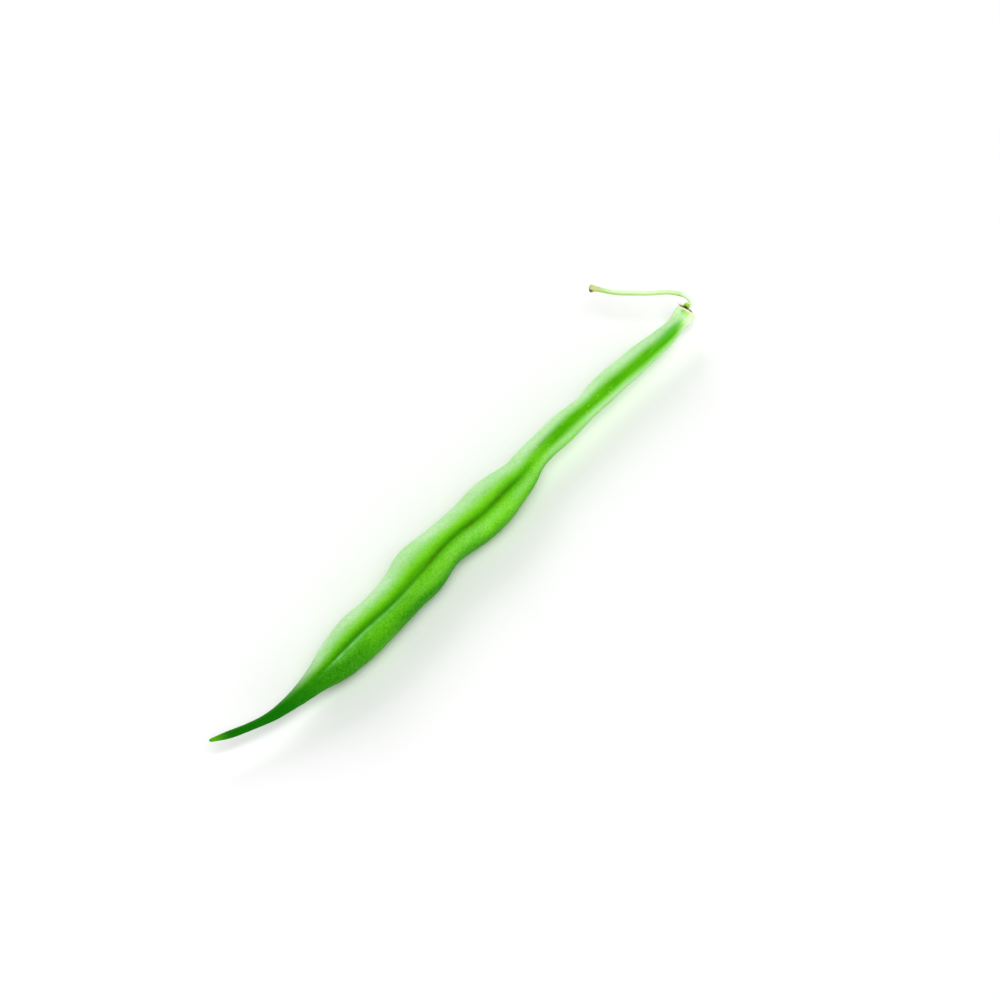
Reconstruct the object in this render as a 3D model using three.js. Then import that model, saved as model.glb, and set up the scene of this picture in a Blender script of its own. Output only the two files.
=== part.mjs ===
import * as THREE from 'three';

// A green bean (French bean), picked whole and lying on a flat surface.
// Millimetres, +Z up. The origin is on the surface, under the middle of the bean's box.
// The beak points to -X and the stalk end to +X. The ventral suture faces up and towards -Y.

// ---- Pod: course and width ----------------------------------------------------------

// Spine of the pod from the stalk end to the beak: x, y, height of the middle, half width.
const SPINE = [
  [64.4, -3.85, 5.1, 1.95],
  [63.1, -4.22, 5.05, 1.97],
  [61.9, -4.4, 5.0, 1.72],
  [56.4, -4.75, 4.9, 1.95],
  [49.4, -4.35, 4.7, 2.38],
  [39.4, -4.2, 4.6, 2.4],
  [33.4, -4.5, 4.6, 2.22],
  [24.4, -4.45, 4.5, 2.38],
  [17.4, -4.7, 4.4, 2.8],
  [12.4, -5.65, 4.3, 3.4],
  [7.4, -5.85, 4.3, 4.2],
  [0.4, -6.1, 4.2, 4.3],
  [-8.1, -5.6, 4.3, 3.95],
  [-17.6, -6.6, 4.3, 4.15],
  [-26.6, -7.6, 4.3, 4.05],
  [-34.6, -7.8, 4.2, 4.15],
  [-39.6, -8.05, 4.2, 3.55],
  [-44.1, -8.2, 4.2, 2.4],
  [-49.6, -8.15, 4.2, 1.5],
  [-55.6, -7.5, 4.3, 0.9],
  [-60.1, -6.05, 4.5, 0.7],
  [-63.6, -4.45, 4.6, 0.6],
  [-65.7, -3.35, 4.7, 0.3],
];
const BEAK_POINT = 0.35; // the round end of the beak, past the last spine point

// Seed swellings: x of the seed, reach along the pod, swelling on the +Y and on the -Y side.
const SEEDS = [
  [39.5, 4.0, 0.3, 0.15],
  [27.2, 4.5, 0.55, 0.3],
  [2.8, 4.5, 0.3, 0.15],
  [-14.9, 4.5, 0.9, 0.65],
  [-31.1, 4.2, 0.2, 0.05],
];
const SWELLING_AT_SUTURES = 0.35; // share of a swelling that reaches the two sutures
const SWELLING_ROUNDNESS = 1.5;
const EXTRA_DEPTH = 0.05; // how much deeper than wide the pod is, as a share

// ---- Pod: sutures -------------------------------------------------------------------

// Roll of the ventral suture, in degrees from straight up towards -Y. The pod is twisted
// a little, so the roll is least near the beak and grows in the neck.
const BEAK_ROLL = 17;
const BODY_ROLL = { more: 10, from: -38, to: -14 };
const NECK_ROLL = { more: 28, from: 26, to: 56 };

// The crease runs along the thick part, between two round cheeks.
const CREASE = { from: -44.6, full: -37.6, fades: 8.4, to: 18.4, depth: 0.32, width: 8 };
const CHEEK_DIP = { depth: 0.25, width: 22 };
// Nearer the stalk it opens into a broad shallow channel.
const CHANNEL = { from: 12.4, full: 22.4, fades: 56.4, to: 63.4, depth: 0.3, width: 20 };
// The dorsal suture is a low ridge.
const RIDGE = { from: -59.6, full: -49.6, fades: 60.4, to: 63.4, height: 0.12, width: 8 };

// ---- Pod: stalk end -----------------------------------------------------------------

// The end face slants: mm shorter per mm towards the suture and towards +Y.
const SLANT = { suture: 0.5, side: 0.35 };
const SLANT_STARTS = 59.7;
const RIM_LIP = { scale: 0.93, rise: 0.12 };
const DISH_EDGE = { scale: 0.8, rise: 0.0 };
const DISH_FLOOR = { scale: 0.7, rise: -0.5 };

// ---- Pod: mesh ----------------------------------------------------------------------

const POD_SIDES = 40;
const CROWDING = 0.5; // sides are closer together at the ventral suture
const NECK_BOTTOM = 58;
const BEAK_TOP = -60;
const NECK_STEPS = 8;
const BODY_STEPS = 74;
const BEAK_STEPS = 6;
const TANGENT_STEP = 0.05;

// ---- Calyx --------------------------------------------------------------------------

// The dried collar sits in the pod's end dish, a little towards +Y of its middle.
const CALYX_OFFSET = 0.35;
// Rings of the collar: distance out from the pod's end plane, radius, reach of the teeth.
const CALYX_RINGS = [
  [-0.18, 0.85, 0],
  [0.2, 0.92, 0],
  [0.33, 1.12, 0.45],
  [0.5, 1.18, 0.5],
  [0.66, 1.08, 0.4],
  [0.66, 0.95, 0],
  [0.4, 0.8, 0],
];
const CALYX_TEETH = 5;
const CALYX_SIDES = 30;
const TOOTH_SHARPNESS = 3;

// ---- Stalk --------------------------------------------------------------------------

// It starts above the collar's cup, hooks back over the pod's end and ends in a knob.
const STALK_GAP = 0.3;
const STALK_BASE = 0.6; // radius of the swollen base
// Points along the stalk: x, y, z, radius.
const STALK = [
  [65.6, -3.85, 6.35, 0.48],
  [65.65, -3.6, 7.2, 0.42],
  [65.3, -3.0, 7.85, 0.4],
  [64.65, -1.8, 8.3, 0.41],
  [63.4, -0.15, 8.55, 0.42],
  [61.0, 2.1, 8.7, 0.44],
  [58.9, 4.65, 8.75, 0.48],
  [57.1, 7.15, 8.65, 0.49],
  [56.05, 9.45, 8.5, 0.46],
  [55.6, 10.7, 8.45, 0.5],
  [55.1, 11.6, 8.4, 0.6],
];
const KNOB_ROUNDING = [[0.14, 0.88], [0.24, 0.55]]; // distance past the last point, scale
const STALK_SIDES = 12;
const STALK_STEPS = 44;
const STALK_ACROSS = new THREE.Vector3(0.86, 0.5, 0); // never lies along the stalk

// ---- Materials ----------------------------------------------------------------------

const POD_SKIN = new THREE.MeshStandardMaterial({ color: 0x62ad2c, roughness: 0.55, metalness: 0 });
const DRIED_CALYX = new THREE.MeshStandardMaterial({ color: 0xb09067, roughness: 0.85, metalness: 0 });
const STALK_SKIN = new THREE.MeshStandardMaterial({ color: 0xbdd488, roughness: 0.6, metalness: 0 });

// ---- Shared geometry ----------------------------------------------------------------

function fade(from, to, x) {
  const t = THREE.MathUtils.clamp((x - from) / (to - from), 0, 1);
  return t * t * (3 - 2 * t);
}

// 1 along the middle of a feature, falling to 0 at its two ends.
function presence(feature, x) {
  return fade(feature.from, feature.full, x) * (1 - fade(feature.fades, feature.to, x));
}

function bell(value, width) {
  return Math.exp(-((value / width) ** 2));
}

// Slope of column number `column` at row i of a table whose first column is x.
function slopeAt(table, column, i) {
  const before = table[Math.max(i - 1, 0)];
  const here = table[i];
  const after = table[Math.min(i + 1, table.length - 1)];
  if (before === here || after === here) {
    return (after[column] - before[column]) / (after[0] - before[0]);
  }
  const back = before[0] - here[0];
  const ahead = here[0] - after[0];
  const slopeBack = (before[column] - here[column]) / back;
  const slopeAhead = (here[column] - after[column]) / ahead;
  return (slopeBack * ahead + slopeAhead * back) / (back + ahead);
}

// A smooth curve through a column of the spine, read at x.
function spineValue(column, x) {
  let i = 0;
  while (i < SPINE.length - 2 && SPINE[i + 1][0] > x) i += 1;
  const span = SPINE[i][0] - SPINE[i + 1][0];
  const t = (x - SPINE[i + 1][0]) / span;
  const low = SPINE[i + 1][column];
  const high = SPINE[i][column];
  const slopeLow = slopeAt(SPINE, column, i + 1) * span;
  const slopeHigh = slopeAt(SPINE, column, i) * span;
  const rise = t * t * (3 - 2 * t);
  return low + (high - low) * rise + slopeLow * t * (1 - t) ** 2 - slopeHigh * t * t * (1 - t);
}

// Joins rings of equal length into one closed body, from the start point to the end point.
function closedLoft(rings, start, end) {
  const sides = rings[0].length;
  const points = [...rings.flat(), start, end];
  const startIndex = points.length - 2;
  const endIndex = points.length - 1;
  const lastRing = (rings.length - 1) * sides;
  const faces = [];
  for (let i = 0; i < sides; i += 1) {
    const next = (i + 1) % sides;
    faces.push(startIndex, next, i);
    for (let row = 0; row < lastRing; row += sides) {
      faces.push(row + i, row + next, row + sides + next);
      faces.push(row + i, row + sides + next, row + sides + i);
    }
    faces.push(endIndex, lastRing + i, lastRing + next);
  }
  const geometry = new THREE.BufferGeometry();
  geometry.setAttribute('position', new THREE.Float32BufferAttribute(points.flatMap((p) => p.toArray()), 3));
  geometry.setIndex(faces);
  geometry.computeVertexNormals();
  return geometry;
}

// ---- Pod ----------------------------------------------------------------------------

function spinePoint(x) {
  return new THREE.Vector3(x, spineValue(1, x), spineValue(2, x));
}

function sutureRoll(x) {
  const body = BODY_ROLL.more * fade(BODY_ROLL.from, BODY_ROLL.to, x);
  const neck = NECK_ROLL.more * fade(NECK_ROLL.from, NECK_ROLL.to, x);
  return BEAK_ROLL + body + neck;
}

// The pod's middle at x, with the directions along it (to the stalk), to the ventral
// suture, and to the side of +Y.
function podFrame(x) {
  const middle = spinePoint(x);
  const along = spinePoint(x + TANGENT_STEP).sub(spinePoint(x - TANGENT_STEP)).normalize();
  const roll = THREE.MathUtils.degToRad(sutureRoll(x));
  const suture = new THREE.Vector3(0, -Math.sin(roll), Math.cos(roll));
  suture.addScaledVector(along, -suture.dot(along)).normalize();
  const side = suture.clone().cross(along);
  return { middle, along, suture, side };
}

// Distance from the middle to the skin. The turn is 0 at the ventral suture.
function podRadius(x, turn) {
  const fromSuture = THREE.MathUtils.radToDeg(Math.min(turn, 2 * Math.PI - turn));
  const sideways = Math.sin(turn);
  const reach = SWELLING_AT_SUTURES + (1 - SWELLING_AT_SUTURES) * Math.abs(sideways) ** SWELLING_ROUNDNESS;
  let radius = spineValue(3, x) * (1 + EXTRA_DEPTH * Math.cos(turn) ** 2);
  for (const [at, length, left, right] of SEEDS) {
    const swelling = (left + right) / 2 + ((left - right) / 2) * sideways;
    radius += swelling * reach * bell(x - at, length);
  }
  const crease = presence(CREASE, x);
  radius -= crease * CREASE.depth * bell(fromSuture, CREASE.width);
  radius -= crease * CHEEK_DIP.depth * bell(fromSuture, CHEEK_DIP.width);
  radius -= presence(CHANNEL, x) * CHANNEL.depth * bell(fromSuture, CHANNEL.width);
  radius += presence(RIDGE, x) * RIDGE.height * bell(180 - fromSuture, RIDGE.width);
  return radius;
}

// One ring of the pod. Where it would pass below the surface it lies flat on it.
function podRing(x) {
  const { middle, along, suture, side } = podFrame(x);
  const slanted = fade(SLANT_STARTS, SPINE[0][0], x);
  const ring = [];
  for (let i = 0; i < POD_SIDES; i += 1) {
    const even = (2 * Math.PI * i) / POD_SIDES;
    const turn = even - CROWDING * Math.sin(even);
    const radius = podRadius(x, turn);
    const up = radius * Math.cos(turn);
    const across = radius * Math.sin(turn);
    const point = middle.clone().addScaledVector(suture, up).addScaledVector(side, across);
    point.addScaledVector(along, -slanted * (SLANT.suture * up + SLANT.side * across));
    point.z = Math.max(point.z, 0);
    ring.push(point);
  }
  return ring;
}

function podStations() {
  const stretches = [
    [SPINE[0][0], NECK_BOTTOM, NECK_STEPS],
    [NECK_BOTTOM, BEAK_TOP, BODY_STEPS],
    [BEAK_TOP, SPINE[SPINE.length - 1][0], BEAK_STEPS],
  ];
  const stations = [SPINE[0][0]];
  for (const [from, to, steps] of stretches) {
    for (let i = 1; i <= steps; i += 1) stations.push(from + ((to - from) * i) / steps);
  }
  return stations;
}

// The end plane at the stalk: its middle, the direction straight out of it, and sideways in it.
function podEnd() {
  const { middle, along, suture, side } = podFrame(SPINE[0][0]);
  const out = along.clone().addScaledVector(suture, SLANT.suture);
  out.addScaledVector(side, SLANT.side).normalize();
  const sideways = side.clone().addScaledVector(out, -side.dot(out)).normalize();
  return { middle, out, side: sideways };
}

// A ring shrunk towards the end's middle and moved out of the end plane.
function endRing(ring, { scale, rise }) {
  const { middle, out } = podEnd();
  return ring.map((p) => p.clone().sub(middle).multiplyScalar(scale).add(middle).addScaledVector(out, rise));
}

function makePod() {
  const rings = podStations().map(podRing);
  const rim = rings[0];
  const { middle, out } = podEnd();
  const dish = [endRing(rim, DISH_FLOOR), endRing(rim, DISH_EDGE), endRing(rim, RIM_LIP)];
  const dishMiddle = middle.clone().addScaledVector(out, DISH_FLOOR.rise);
  const tip = podFrame(SPINE[SPINE.length - 1][0]);
  const beakEnd = tip.middle.clone().addScaledVector(tip.along, -BEAK_POINT);
  const geometry = closedLoft([...dish, ...rings], dishMiddle, beakEnd);
  const mesh = new THREE.Mesh(geometry, POD_SKIN);
  mesh.name = 'pod';
  return mesh;
}

// ---- Calyx --------------------------------------------------------------------------

function calyxFrame() {
  const { middle, out, side } = podEnd();
  const centre = middle.clone().addScaledVector(side, CALYX_OFFSET);
  const across = out.clone().cross(side).normalize();
  return { centre, out, side, across };
}

function makeCalyx() {
  const { centre, out, side, across } = calyxFrame();
  const rings = CALYX_RINGS.map(([rise, radius, teeth]) => {
    const ring = [];
    for (let i = 0; i < CALYX_SIDES; i += 1) {
      const turn = (2 * Math.PI * i) / CALYX_SIDES;
      const tooth = (0.5 + 0.5 * Math.cos(CALYX_TEETH * turn)) ** TOOTH_SHARPNESS;
      const reach = radius + teeth * tooth;
      const point = centre.clone().addScaledVector(out, rise);
      point.addScaledVector(side, reach * Math.cos(turn));
      point.addScaledVector(across, reach * Math.sin(turn));
      ring.push(point);
    }
    return ring;
  });
  const bottom = centre.clone().addScaledVector(out, CALYX_RINGS[0][0]);
  const top = centre.clone().addScaledVector(out, CALYX_RINGS[CALYX_RINGS.length - 1][0]);
  const mesh = new THREE.Mesh(closedLoft(rings, bottom, top), DRIED_CALYX);
  mesh.name = 'calyx';
  return mesh;
}

// ---- Stalk --------------------------------------------------------------------------

function makeStalk() {
  const { centre, out } = calyxFrame();
  const cupFloor = CALYX_RINGS[CALYX_RINGS.length - 1][0];
  const base = centre.clone().addScaledVector(out, cupFloor + STALK_GAP);
  const places = [base, ...STALK.map(([x, y, z]) => new THREE.Vector3(x, y, z))];
  const radii = [STALK_BASE, ...STALK.map((row) => row[3])];
  const course = new THREE.CatmullRomCurve3(places);
  const width = new THREE.SplineCurve(radii.map((radius, i) => new THREE.Vector2(i, radius)));
  const ringAt = (middle, along, radius) => {
    const across = STALK_ACROSS.clone().addScaledVector(along, -STALK_ACROSS.dot(along)).normalize();
    const down = along.clone().cross(across);
    const ring = [];
    for (let i = 0; i < STALK_SIDES; i += 1) {
      const turn = (2 * Math.PI * i) / STALK_SIDES;
      const point = middle.clone().addScaledVector(across, radius * Math.cos(turn));
      ring.push(point.addScaledVector(down, radius * Math.sin(turn)));
    }
    return ring;
  };
  const rings = [];
  for (let i = 0; i <= STALK_STEPS; i += 1) {
    const t = i / STALK_STEPS;
    const along = i === 0 ? out : course.getTangent(t);
    rings.push(ringAt(course.getPoint(t), along, width.getPoint(t).y));
  }
  const end = places[places.length - 1];
  const endAlong = course.getTangent(1);
  const endRadius = radii[radii.length - 1];
  for (const [past, scale] of KNOB_ROUNDING) {
    rings.push(ringAt(end.clone().addScaledVector(endAlong, past), endAlong, endRadius * scale));
  }
  const tip = end.clone().addScaledVector(endAlong, KNOB_ROUNDING[KNOB_ROUNDING.length - 1][0]);
  const mesh = new THREE.Mesh(closedLoft(rings, base, tip), STALK_SKIN);
  mesh.name = 'stalk';
  return mesh;
}

// ---- The bean -----------------------------------------------------------------------

const bean = new THREE.Group();
bean.add(makePod(), makeCalyx(), makeStalk());

export default bean;
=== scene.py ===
import math

import bpy
import numpy as np
from mathutils import Matrix, Vector


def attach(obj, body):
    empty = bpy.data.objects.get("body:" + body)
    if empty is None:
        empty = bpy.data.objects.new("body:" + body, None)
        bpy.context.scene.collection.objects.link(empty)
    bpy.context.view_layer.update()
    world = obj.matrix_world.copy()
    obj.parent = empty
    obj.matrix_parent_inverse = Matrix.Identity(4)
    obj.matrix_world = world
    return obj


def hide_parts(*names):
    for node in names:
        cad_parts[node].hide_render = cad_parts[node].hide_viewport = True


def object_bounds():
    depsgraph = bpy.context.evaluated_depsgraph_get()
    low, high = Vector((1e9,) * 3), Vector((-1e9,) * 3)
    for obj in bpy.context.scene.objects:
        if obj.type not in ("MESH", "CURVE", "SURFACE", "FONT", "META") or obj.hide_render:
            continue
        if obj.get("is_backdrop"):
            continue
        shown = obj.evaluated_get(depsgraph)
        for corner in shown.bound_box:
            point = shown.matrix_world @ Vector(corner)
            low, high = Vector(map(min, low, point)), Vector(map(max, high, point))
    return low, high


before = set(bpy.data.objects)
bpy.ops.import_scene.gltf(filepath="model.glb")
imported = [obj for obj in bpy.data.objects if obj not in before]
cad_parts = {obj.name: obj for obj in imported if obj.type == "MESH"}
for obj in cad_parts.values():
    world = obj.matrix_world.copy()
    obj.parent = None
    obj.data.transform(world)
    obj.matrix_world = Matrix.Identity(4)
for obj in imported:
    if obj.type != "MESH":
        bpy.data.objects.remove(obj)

# A green bean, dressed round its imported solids. Lengths are in millimetres, as in the part's
# source, and turn into metres where a mesh, light or camera is made.
MM = 0.001
CAD_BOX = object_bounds()

# ---- Camera -------------------------------------------------------------------------

CAMERA_AZIMUTH = -50.0
CAMERA_ELEVATION = 50.0
CAMERA_DISTANCE = 560.0
CAMERA_LENS = 112.0
CAMERA_SENSOR = 36.0
CAMERA_TARGET = (6.4, -6.6, 4.5)
# The nearest and the furthest distance that the camera sees.
CAMERA_CLIP = (10.0, 20000.0)


def make_camera():
    azimuth = math.radians(CAMERA_AZIMUTH)
    elevation = math.radians(CAMERA_ELEVATION)
    back = Vector((
        math.sin(azimuth) * math.cos(elevation),
        -math.cos(azimuth) * math.cos(elevation),
        math.sin(elevation),
    ))
    right = Vector((math.cos(azimuth), math.sin(azimuth), 0.0))
    data = bpy.data.cameras.new("camera")
    data.sensor_width = CAMERA_SENSOR
    data.lens = CAMERA_LENS
    data.clip_start = CAMERA_CLIP[0] * MM
    data.clip_end = CAMERA_CLIP[1] * MM
    camera = bpy.data.objects.new("camera", data)
    turned = Matrix((right, back.cross(right), back)).transposed().to_4x4()
    place = (Vector(CAMERA_TARGET) + CAMERA_DISTANCE * back) * MM
    camera.matrix_world = Matrix.Translation(place) @ turned
    bpy.context.scene.collection.objects.link(camera)
    bpy.context.scene.camera = camera


make_camera()

# ---- Pod: values repeated from the part's source -------------------------------------

# Spine of the pod from the stalk end to the beak: x, y, height of the middle, half width.
SPINE = np.array([
    (64.4, -3.85, 5.1, 1.95),
    (63.1, -4.22, 5.05, 1.97),
    (61.9, -4.4, 5.0, 1.72),
    (56.4, -4.75, 4.9, 1.95),
    (49.4, -4.35, 4.7, 2.38),
    (39.4, -4.2, 4.6, 2.4),
    (33.4, -4.5, 4.6, 2.22),
    (24.4, -4.45, 4.5, 2.38),
    (17.4, -4.7, 4.4, 2.8),
    (12.4, -5.65, 4.3, 3.4),
    (7.4, -5.85, 4.3, 4.2),
    (0.4, -6.1, 4.2, 4.3),
    (-8.1, -5.6, 4.3, 3.95),
    (-17.6, -6.6, 4.3, 4.15),
    (-26.6, -7.6, 4.3, 4.05),
    (-34.6, -7.8, 4.2, 4.15),
    (-39.6, -8.05, 4.2, 3.55),
    (-44.1, -8.2, 4.2, 2.4),
    (-49.6, -8.15, 4.2, 1.5),
    (-55.6, -7.5, 4.3, 0.9),
    (-60.1, -6.05, 4.5, 0.7),
    (-63.6, -4.45, 4.6, 0.6),
    (-65.7, -3.35, 4.7, 0.3),
])
STALK_END = SPINE[0, 0]
BEAK_END = SPINE[-1, 0]
BEAK_POINT = 0.35

# Seed swellings: x of the seed, reach along the pod, swelling on the +Y and on the -Y side.
SEEDS = (
    (39.5, 4.0, 0.3, 0.15),
    (27.2, 4.5, 0.55, 0.3),
    (2.8, 4.5, 0.3, 0.15),
    (-14.9, 4.5, 0.9, 0.65),
    (-31.1, 4.2, 0.2, 0.05),
)
SWELLING_AT_SUTURES = 0.35
SWELLING_ROUNDNESS = 1.5
EXTRA_DEPTH = 0.05

BEAK_ROLL = 17.0
BODY_ROLL = {"more": 10.0, "start": -38.0, "stop": -14.0}
NECK_ROLL = {"more": 28.0, "start": 26.0, "stop": 56.0}

CREASE = {"start": -44.6, "full": -37.6, "fades": 8.4, "stop": 18.4, "depth": 0.32, "width": 8.0}
CHEEK_DIP = {"depth": 0.25, "width": 22.0}
CHANNEL = {"start": 12.4, "full": 22.4, "fades": 56.4, "stop": 63.4, "depth": 0.3, "width": 20.0}
RIDGE = {"start": -59.6, "full": -49.6, "fades": 60.4, "stop": 63.4, "height": 0.12, "width": 8.0}

SLANT = {"suture": 0.5, "side": 0.35}
SLANT_STARTS = 59.7
RIM_LIP = {"scale": 0.93, "rise": 0.12}
DISH_EDGE = {"scale": 0.8, "rise": 0.0}
DISH_FLOOR = {"scale": 0.7, "rise": -0.5}
TANGENT_STEP = 0.05

# ---- Calyx and stalk: values repeated from the part's source ----------------------------

CALYX_OFFSET = 0.35
# Rings of the calyx: height over the end plane, radius, and how far its teeth reach.
CALYX_RINGS = (
    (-0.18, 0.85, 0.0),
    (0.2, 0.92, 0.0),
    (0.33, 1.12, 0.45),
    (0.5, 1.18, 0.5),
    (0.66, 1.08, 0.4),
    (0.66, 0.95, 0.0),
    (0.4, 0.8, 0.0),
)
STALK_BASE = 0.6
# Course of the stalk from the pod to its broken end: x, y, z, radius.
STALK = np.array([
    (65.6, -3.85, 6.35, 0.48),
    (65.65, -3.6, 7.2, 0.42),
    (65.3, -3.0, 7.85, 0.4),
    (64.65, -1.8, 8.3, 0.41),
    (63.4, -0.15, 8.55, 0.42),
    (61.0, 2.1, 8.7, 0.44),
    (58.9, 4.65, 8.75, 0.48),
    (57.1, 7.15, 8.65, 0.49),
    (56.05, 9.45, 8.5, 0.46),
    (55.6, 10.7, 8.45, 0.5),
    (55.1, 11.6, 8.4, 0.6),
])
KNOB_ROUNDING = ((0.14, 0.88), (0.24, 0.55))
STALK_ACROSS = np.array([0.86, 0.5, 0.0])

# ---- Calyx and stalk: fine form ---------------------------------------------------------

CALYX_SIDES = 180
CALYX_STEPS = 7
# The rings past this one line the calyx's cup.
CUP_RING = 5
# Reach of a full tooth in CALYX_RINGS, and spread of a tooth that has its full colour.
FULL_TOOTH = 0.5
PALE_TOOTH = 0.42
# Dried teeth of the calyx: degrees round it, half width in degrees, how far each spreads, and
# how far it stands up or droops.
TEETH = (
    (-30.0, 14.0, 0.95, 0.36),
    (83.0, 24.0, 0.24, -0.16),
    (150.0, 18.0, 0.32, -0.1),
    (222.0, 26.0, 0.26, 0.12),
    (297.0, 19.0, 0.34, 0.2),
)
# A tooth stands up or droops by this power of its width, so mostly at its tip.
TOOTH_CURL = 1.5
# Waves round the calyx's edge: height, number and turn, and how far they also lift it. The
# small ones turn by that much more in each ring.
WAVE = {"height": 0.05, "count": 3.0, "turned": 1.3}
SMALL_WAVE = {"height": 0.03, "count": 7.0, "turned": 0.4}
WAVE_LIFT = 0.6
# Burnt parts of the calyx, partly its own dark dried colour and partly painted shade of the slit
# between the rim and the stalk, and brown parts: degrees round them, and heights over the end
# plane.
SCORCH_AND_SHADE = {"turn": 56.0, "width": 38.0, "heights": (0.16, 0.3)}
BROWN = {"starts": (50.0, 80.0), "ends": (345.0, 300.0), "heights": (0.52, 0.36)}

STALK_STEPS = 190
STALK_SIDES = 28
END_STEPS = 12
# The stalk's direction is taken over this distance to each side.
COURSE_STEP = 0.02
# A swelling of the base, the nub, starts this far over the calyx and leans to one side.
NUB_FROM = 0.05
NUB = {"at": 0.6, "reach": 0.5, "height": 0.1, "lean": 0.22}
# How far up the stalk, and how far towards it, the nub's colour goes.
NUB_MARK = {"travel": (1.5, 0.9), "towards": (-0.3, 0.4)}
# Degrees round the stalk, from the side away from the pod, to the middle of its greener, darker
# underside, which is painted shade, and the cosines from there at which that shade starts and is
# full.
SHADED_UNDERSIDE = 139.0
SHADED_UNDERSIDE_FADE = (-0.3, 0.95)
# Fine ridges along the stalk, and its torn end: lobes with small teeth, flared and rounded.
STALK_RIDGES = {"count": 5, "height": 0.06, "twist": 0.35, "rise": (0.8, 2.5)}
TORN_END = {"lobes": 3, "turned": 0.6, "teeth": 7.0, "tooth": 0.3, "depth": 0.2, "start": 0.4}
TORN_FLARE = {"height": 0.16, "length": 0.9}
TORN_ROUNDING = {"longer": 0.3, "power": 3, "share": 0.95}

# ---- Pod: fine form -------------------------------------------------------------------

POD_SIDES = 144
# How far the vertices of a ring crowd together at the crease.
CROWDING = 0.5
NECK_BOTTOM, BEAK_TOP = 58.0, -60.0
NECK_STEPS, BODY_STEPS, BEAK_STEPS = 44, 520, 32

# Rings from the floor of the dish out to the rim, each with how far it is scarred.
DISH = (
    (DISH_FLOOR, 1.0),
    ({"scale": 0.74, "rise": -0.46}, 1.0),
    ({"scale": 0.77, "rise": -0.3}, 1.0),
    ({"scale": 0.79, "rise": -0.1}, 1.0),
    (DISH_EDGE, 0.85),
    ({"scale": 0.84, "rise": 0.07}, 0.5),
    ({"scale": 0.885, "rise": 0.12}, 0.25),
    (RIM_LIP, 0.08),
    ({"scale": 0.975, "rise": 0.08}, 0.0),
)
# Rings that round the beak's point: share of the last ring, and how far past it.
BEAK_CAPS = ((0.88, 0.12), (0.66, 0.24), (0.36, 0.32))

# Random relief of the pod and the stalk, in millimetres. Each is a sum of waves, whose lengths
# spread by PITCHES. On the pod it fades out over a length at each end.
SWELLS = {"height": 0.045, "wavelength": 5.0, "seed": 11, "stretch": 1.8, "waves": 28}
GRAIN = {"height": 0.014, "wavelength": 0.9, "seed": 12, "stretch": 1.6, "waves": 40}
STALK_GRAIN = {"height": 0.012, "wavelength": 1.2, "seed": 31, "stretch": 1.0, "waves": 28}
PITCHES = (0.7, 1.6)
RIPPLE_HEIGHT = 0.6
SMOOTH_ENDS = {"stalk": 4.0, "beak": 12.0}

# A thin wandering seam runs along the bottom of the crease, and near the beak a thin raised
# lip runs beside it.
SEAM = {"start": -46.5, "full": -41.0, "fades": 6.0, "stop": 16.0, "depth": 0.03, "width": 3.4}
# How far the seam and the lip wander, in degrees, and the waves of that along the pod: height,
# pitch and turn.
SEAM_WANDER = 0.9
SEAM_WAVES = ((1.0, 0.9, 0.0), (0.6, 2.3, 1.0))
LIP = {"start": -45.0, "full": -39.0, "fades": -37.0, "stop": -13.0, "height": 0.04, "width": 5.0}
LIP_TURN = 9.5

# ---- Pod: where its colours lie ---------------------------------------------------------
# Places are given by x, by the turn in degrees from the crease, or by level, the sine of that
# turn: 1 on the +Y flank, 0 at the crease and -1 on the -Y flank. A pair of numbers is where
# something starts and where it is full.

# Painted shade in the crease, which bends aside at one x, and in the seam, with its brown flecks:
# x of each fleck and how far it reaches along the seam.
CREASE_SHADE = {"turn": 1.0, "wider": 1.7, "x": -18.5, "reach": 5.0, "bend": 5.0}
SEAM_SHADE_WIDER = 1.3
FLECKS = ((4.5, 2.6), (-2.9, 2.0), (-13.0, 2.6))
FLECK_WIDTH = 5.4
# Painted highlight on the lip: its pale line and the glow beside it, fainter at one x.
LIP_HIGHLIGHT_LINE = {"share": 0.85, "wider": 0.78}
LIP_HIGHLIGHT_GLOW = {"share": 0.22, "wider": 2.0, "turn": 6.0}
LIP_HIGHLIGHT_GAP = {"x": -30.5, "reach": 5.0, "less": 0.3}
RIDGE_WIDER = 0.7

# The dark streak of the channel, painted shade in that hollow, whose width wavers and tapers as
# it turns towards +Y.
CHANNEL_SHADE = {"start": 11.0, "full": 23.0, "fades": 56.5, "stop": 62.8}
CHANNEL_SHADE_WIDTH = {"wider": 1.15, "taper": 0.2, "along": (52.0, 61.0), "waver": 0.08, "pitch": 0.55}
CHANNEL_SHADE_BULGE = {"x": 50.0, "reach": 6.0, "more": 0.1}
CHANNEL_SHADE_TURN = {"more": 9.0, "along": (40.0, 53.0)}
CHANNEL_SHADE_FILL = 1.35
# The bluish patch beside the streak, the green spot below the rim and the pale side there.
PATCH = {"x": 57.0, "reach": 4.2, "turn": 27.0, "width": 20.0}
END_SPOT = {"x": 63.7, "reach": 0.55, "turn": 52.0, "width": 13.0}
PALE_END = {"along": (60.0, 63.0), "left": (24.0, -16.0), "right": (-150.0, -110.0)}

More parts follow.
